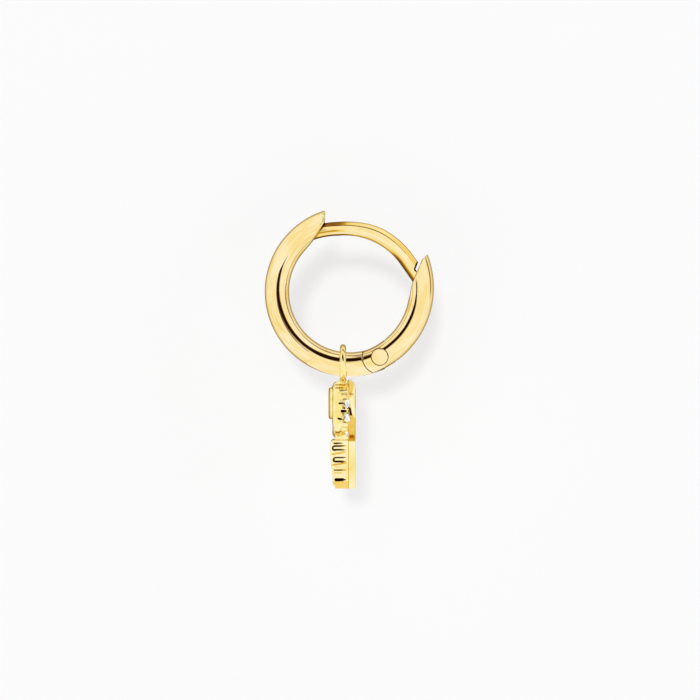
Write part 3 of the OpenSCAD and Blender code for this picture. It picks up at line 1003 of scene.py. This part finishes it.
def stone_frame(angle, side):
    """A stone's place, an angle up from level on its side, the way its table looks and two ways across."""
    turn, lean = radians(angle), radians(STONE_LEAN)
    radial = Vector((0, -side * cos(turn), sin(turn)))
    place = Vector((plate_x - STONE_SET, 0, disc_z)) + STONE_RING_R * radial
    up = (radial * cos(lean) - TO_BACK * sin(lean)).normalized()
    u = up.orthogonal().normalized()
    return place, up, u, up.cross(u)


def seat(angle, side):
    place, up, _, _ = stone_frame(angle, side)
    r = STONE_D / 2 + SEAT_PLAY
    rows = [(-SEAT_DEEP, SEAT_TIP_R), (-SEAT_UNDER, r), (SEAT_OVER, r * SEAT_FLARE)]
    return turned("seat", rows, place, up, 32)


def claws(angle, side):
    """Four small beads of metal round a stone."""
    place, up, u, v = stone_frame(angle, side)
    made = []
    for k in range(4):
        turn = pi / 2 * (k + 0.5)
        spot = place + (u * cos(turn) + v * sin(turn)) * (STONE_D / 2 + CLAW_OUT) + up * CLAW_OUT
        made.append(turned("claw", ball_rows(CLAW_R, 8, 0.5), spot, up, 16))
    return made


# A brilliant cut. Each row: corners, share of a step they are turned by, radius and height in stone radii
CUT = ((8, 0.0, 0.56, 0.36), (8, 0.5, 0.76, 0.24), (16, 0.0, 1.0, 0.06), (16, 0.0, 1.0, -0.02),
       (8, 0.5, 0.42, -0.52), (8, 0.0, 0.05, -0.8))


def stones():
    """Each cut stone: a flat table, a crown and a pavilion of small facets."""
    settings = [(angle, side) for side in (-1, 1) for angle in STONE_ANGLES]
    for number, (angle, side) in enumerate(settings, 1):
        place, up, u, v = stone_frame(angle, side)
        shape = bmesh.new()
        for count, shift, r, h in CUT:
            for k in range(count):
                turn = 2 * pi * (k + shift) / count
                round_spot = (u * cos(turn) + v * sin(turn)) * r
                shape.verts.new(place + (round_spot + up * h) * STONE_D / 2)
        bmesh.ops.convex_hull(shape, input=shape.verts)
        piece = solid(f"cut_stone_{number}", shape)
        plated(piece, cut_stone)
        in_place(piece, "charm", f"stone_{number}")


VOXEL = 0.04
SEAM_X = plate_x + 0.01
SEAM_DEEP = 0.07
SEAM_HALF = 0.012
SEAM_MOUTH = 0.06


def strip_seam(side):
    """The thin upright groove that parts the block's grooved front from its plain back."""
    out_half = side * (block_half(BLOCK_H) + 0.3)
    rings = []
    for z in (block_base - 0.1, block_top - 0.02):
        deep = side * (block_half(z - block_base) - SEAM_DEEP)
        section = ((-SEAM_HALF, deep), (SEAM_HALF, deep), (SEAM_MOUTH, out_half), (-SEAM_MOUTH, out_half))
        rings.append([Vector((SEAM_X + x, y, z)) for x, y in section])
    return lofted("strip seam", rings)


def charm_painted_shade(place):
    """Painted shade and reflection: 0 on open polished gold, up to 1 deep in a groove; low values are
    painted deeper yellow gold.
    """
    x, y, z = place
    height = z - block_base
    dark = groove_painted_shade(x, y, height)
    # Painted shade in the seam, and a painted dark reflection line at the boss's front rim
    if z < block_top and abs(x - SEAM_X) < 0.05 and abs(y) > block_half(height) - 0.12:
        dark = max(dark, 0.36)
    dark = max(dark, 0.6 * near_to(x, drum_front_x - BOSS_H + 0.1, 0.01, 0.05))
    # On the plate: painted deep yellow reflections at its top and low on its rim, a painted dark reflection
    # streak across its side and a painted dark line along its back edge and top
    behind = x - plate_x
    if behind > -0.03 and z > block_top - 0.1:
        shine = 0.15 + 0.25 * (height - 6.9)
        top = step_between(height, 6.7, 7.3) * (1 - step_between(behind, shine, shine + 0.12))
        low = step_between(disc_z + 0.24 - 1.45 * behind - z, 0.0, 0.1)
        streak_x = 0.10 + 0.2 * (disc_z + 0.23 - z)
        streak = near_to(behind, streak_x, 0.07, 0.04) * near_to(z, disc_z - 0.05, 0.25, 0.12)
        rim = max(near_to(behind, PLATE_T, 0.02, 0.05), near_to(height, 8.37, 0.05, 0.06)) * (height > 6.2)
        dark = max(dark, 0.32 * top, 0.32 * low, 0.95 * streak, 0.45 * rim)
    return dark


def charm():
    """The cast charm in one piece: ring, plate, rosette, boss and block, with soft cast edges."""
    piece = back_plate()
    combined(piece, drum(), boss(), block(), neck())
    combined(piece, lobes())
    for side in (-1, 1):
        combined(piece, *[pad(side, *row) for row in PADS])
        cut(piece, *[groove(side, *row) for row in GROOVES])
        cut(piece, strip_seam(side))
        for angle in STONE_ANGLES:
            cut(piece, seat(angle, side))
            combined(piece, *claws(angle, side))
    combined(piece, bail_ring())
    step = piece.modifiers.new("cast", "REMESH")
    step.mode = "VOXEL"
    step.voxel_size = VOXEL
    soft = piece.modifiers.new("soft", "SMOOTH")
    soft.factor = 0.5
    soft.iterations = 1
    baked(piece)
    tidied(piece, crease=60)
    piece.name = "charm_gold"
    # Painted shade in the grooves and seam, and painted reflections on the boss and plate
    plated(piece, cast)
    mark_painted_shade(piece, charm_painted_shade)
    in_place(piece, "charm", "charm")


# Camera: square to the hoop's plane, as far off as a close-up lens stands
PHOTO_SIDE = 700
PIXEL = 0.07706
ORIGIN_PIXEL = (344.9, 227.9)
LENS = 100.0
SENSOR = 36.0


def camera():
    data = bpy.data.cameras.new("camera")
    data.lens = LENS
    data.sensor_width = SENSOR
    data.clip_start = 0.002
    data.clip_end = 20.0
    eye = new_piece("camera", data)
    scene.camera = eye
    distance = PHOTO_SIDE * PIXEL * LENS / SENSOR
    x = (PHOTO_SIDE / 2 - ORIGIN_PIXEL[0]) * PIXEL
    z = -(PHOTO_SIDE / 2 - ORIGIN_PIXEL[1]) * PIXEL
    eye.location = MM * Vector((x, -distance, z))
    eye.rotation_euler = (pi / 2, 0, 0)


# The dark arch between the lights, round a middle left of and above the lens, all in degrees.
# Each row: angle from the arch's top, positive to the left, then its radius and half its width.
ARCH_MIDDLE = (-13, 5)
ARCH = ((-120, 18, 8), (-109, 20, 10), (-102, 24, 10.5), (-90, 29, 10.5), (-83, 33, 11.5), (-70, 36.5, 13),
        (-56, 36, 14), (-46, 37.5, 15), (-35, 40.5, 15), (-20, 42.3, 15), (-7, 44, 14), (21, 37.6, 13.5),
        (34, 35, 14.5), (48, 33.3, 14), (63, 32.2, 13), (77, 35.3, 12), (91, 40.5, 9.5), (104, 41, 7))
ARCH_SCALE = 60
ARCH_FADE = 3


def emptied(owner):
    """The net of a world's or material's node tree, without its first nodes."""
    owner.use_nodes = True
    owner.node_tree.nodes.clear()
    return Net(owner.node_tree)


def world():
    """Pale light all round, with a dark arch in front, as the gap between two lights leaves it."""
    sky = bpy.data.worlds.new("studio")
    scene.world = sky
    net = emptied(sky)
    where = net.add("ShaderNodeTexCoord").of("Generated")
    x, y, z = net.split(where)
    in_degrees = 180 / pi
    off = (-y).arccos() * in_degrees
    flat = (x * x + z * z).root() + 1e-5
    right, up = off * x / flat, off * z / flat
    azimuth = up.bearing(right) * in_degrees

    dx, dz = right - ARCH_MIDDLE[0], up - ARCH_MIDDLE[1]
    round_arch = (-dx).bearing(dz)
    stops = [((a + 180) / 360, (r / ARCH_SCALE, w / ARCH_SCALE, 0, 1)) for a, r, w in ARCH]
    ramp = net.add("ShaderNodeValToRGB", {"Fac": round_arch / (2 * pi) + 0.5}, stops=stops)
    arch = net.add("ShaderNodeSeparateColor", {0: ramp})
    ring = ((dx * dx + dz * dz).root() - arch * ARCH_SCALE).size() - arch.of("Green") * ARCH_SCALE
    turned_by = round_arch * in_degrees
    spread = turned_by.between(-118.0, -108.0) * (1 - turned_by.between(96.0, 104.0))

    lamp = off.near(68.0, 7.0, 6.0) * right.near(14.0, 40.0, 20.0) * up.between(20.0, 40.0)
    shade = right.near(-30.0, 16.0, 16.0) * up.between(52.0, 62.0) * (1 - off.between(84.0, 92.0))
    rim = off.near(92.0, 4.5, 4.0) * azimuth.between(-8.0, 2.0) * (1 - azimuth.between(125.0, 142.0))
    rim = rim * ((azimuth - 34.0).size().between(6.0, 18.0) * 0.8 + 0.2)
    clouds = net.noise(where, 4.5, 1.0)
    sides = net.blend(clouds.between(0.38, 0.62), (0.97, 0.90, 0.60, 1), (1.03, 1.09, 1.38, 1))
    seen = net.blend(off.between(8.0, 20.0), (1.03, 1.09, 1.30, 1), sides)
    # Each row: where a tone lies over those before it, and the tone: room behind, lamp, shade, line at
    # the rim, the arch's brown fringe and the arch
    for share, tone in (
            (off.between(100.0, 150.0), (0.42, 0.31, 0.12, 1)),
            (lamp, (1.08, 1.08, 1.15, 1)),
            (shade * 0.85, (0.20, 0.12, 0.03, 1)),
            (rim * 0.92, (0.15, 0.06, 0.002, 1)),
            ((1 - ring.between(0, ARCH_FADE + 3)) * spread * 0.8, (0.50, 0.26, 0.03, 1)),
            ((1 - ring.between(-ARCH_FADE, ARCH_FADE)) * spread, (0.016, 0.006, 0.002, 1))):
        seen = net.blend(share, seen, tone)
    to_eye = net.add("ShaderNodeLightPath").of("Is Camera Ray")
    colour = net.blend(to_eye, seen, (0.965, 0.965, 0.965, 1))
    glow = net.add("ShaderNodeBackground", {"Color": colour, "Strength": 1.0})
    net.add("ShaderNodeOutputWorld", {"Surface": glow})


def card_glow():
    """Light from a pale card with soft warm and cool patches."""
    material = bpy.data.materials.new("card")
    net = emptied(material)
    clouds = net.noise(net.add("ShaderNodeTexCoord").of("Object"), 500.0, 0.0)
    colour = net.blend(clouds.between(0.3, 0.7), (1.0, 0.96, 0.80, 1), (1.03, 1.07, 1.25, 1))
    glow = net.add("ShaderNodeEmission", {"Color": colour, "Strength": 1.0})
    net.add("ShaderNodeOutputMaterial", {"Surface": glow})
    return material


def paper():
    """Pale paper that is clear from behind."""
    material = bpy.data.materials.new("pale paper")
    net = emptied(material)
    paint_on = net.add("ShaderNodeBsdfDiffuse", {"Color": (0.502, 0.510, 0.522, 1)})
    glow = net.add("ShaderNodeEmission", {"Color": (1, 1, 1, 1), "Strength": 0.470})
    both = net.add("ShaderNodeAddShader", {0: paint_on, 1: glow})
    clear = net.add("ShaderNodeBsdfTransparent")
    back = net.add("ShaderNodeNewGeometry").of("Backfacing")
    face = net.add("ShaderNodeMixShader", {0: back, 1: both, 2: clear})
    net.add("ShaderNodeOutputMaterial", {"Surface": face})
    return material


def sheet(name, corners, material):
    mesh = bpy.data.meshes.new(name)
    mesh.from_pydata([MM * Vector(c) for c in corners], [], [tuple(range(len(corners)))])
    mesh.materials.append(material)
    piece = new_piece(name, mesh)
    return piece


def unseen(piece, *ways):
    """Hides a piece from some kinds of ray."""
    for way in ways:
        setattr(piece, f"visible_{way}", False)


def arc_points(centre, r, angles):
    return [tuple((centre + out(angle) * r).xz) for angle in angles]


ARM_CARD = arc_points(arm_centre, ARM_R - 0.75, range(-78, 36, 6))
POST_CARD = arc_points(post_centre, POST_R - 0.45, range(32, 108, 4))
POST_CARD += arc_points(post_centre, POST_R + 0.6, range(104, 31, -4))
# Small cards near the earring, seen only as reflections. Each row: name, place along Y and outline in the
# hoop's plane
CARDS = (
    ("left card", -10, ((-80, -10), (-8.3, -10), (-8.3, 4), (-9.5, 26), (-13.5, 40), (-25, 80), (-80, 80))),
    ("right card", -10, ((7.2, -12), (40, -12), (40, 10), (7.2, 10))),
    ("tip card", -3, ((-20, -3.6), (-5.6, -3.6), (-4.3, -2.7), (-3.2, -1.9), (-2.3, -1.1), (-1.75, 0.2),
                      (-1.75, 20), (-20, 20))),
    ("post card", -3, POST_CARD),
    ("arm card", -3, ARM_CARD + [(14, 3), (14, -18), (3, -18)]),
    ("charm card", -4, ((-8, -21), (2.5, -21), (2.5, -11), (1.2, -9.5), (-8, -9.5))),
)


# Upright slips of card, along Y from the first number to the second. Each row: two ends in the hoop's plane
SLIP_Y = (-2.4, 0.5)
UNDER_HOOP = hoop_centre.z - HOOP_R - TUBE_R - 0.08
SLIPS = (
    ((-3.6, UNDER_HOOP), (-0.42, UNDER_HOOP)),
    ((0.13, UNDER_HOOP), (3.6, UNDER_HOOP)),
    ((-9.0, 0.0), (-2.4, 5.6)),
)


def stage():
    """A pale floor, a pale wall that takes the shadow, the cards and a key light."""
    pale = paper()
    wall_y, wide, low, high = 12.0, 45.0, -45.0, 40.0
    floor_z, far = -40.0, 300.0
    wall = [(-wide, wall_y, low), (wide, wall_y, low), (wide, wall_y, high), (-wide, wall_y, high)]
    floor = [(-far, -far, floor_z), (far, -far, floor_z), (far, far, floor_z), (-far, far, floor_z)]
    for name, corners in (("wall", wall), ("floor", floor)):
        unseen(sheet(name, corners, pale), "glossy", "diffuse")

    light = card_glow()
    cards = [(name, [(x, y, z) for x, z in outline]) for name, y, outline in CARDS]
    for (x, z), (far_x, far_z) in SLIPS:
        near_y, far_y = SLIP_Y
        corners = [(x, near_y, z), (far_x, near_y, far_z), (far_x, far_y, far_z), (x, far_y, z)]
        cards.append(("slip", corners))
    for name, corners in cards:
        unseen(sheet(name, corners, light), "camera", "diffuse", "shadow")

    lamp = bpy.data.lights.new("key", "SUN")
    lamp.energy = 0.8
    lamp.angle = radians(6)
    key = new_piece("key", lamp)
    gone = Vector((tan(radians(4.4)), 1.0, -tan(radians(9.1))))
    key.rotation_euler = gone.to_track_quat("-Z", "Y").to_euler()
    unseen(key, "glossy")


hoop_front()
hinge_arm()
hinge_pin()
charm()
stones()
camera()
world()
stage()
scene.view_settings.view_transform = "Standard"
scene.cycles.use_denoising = True
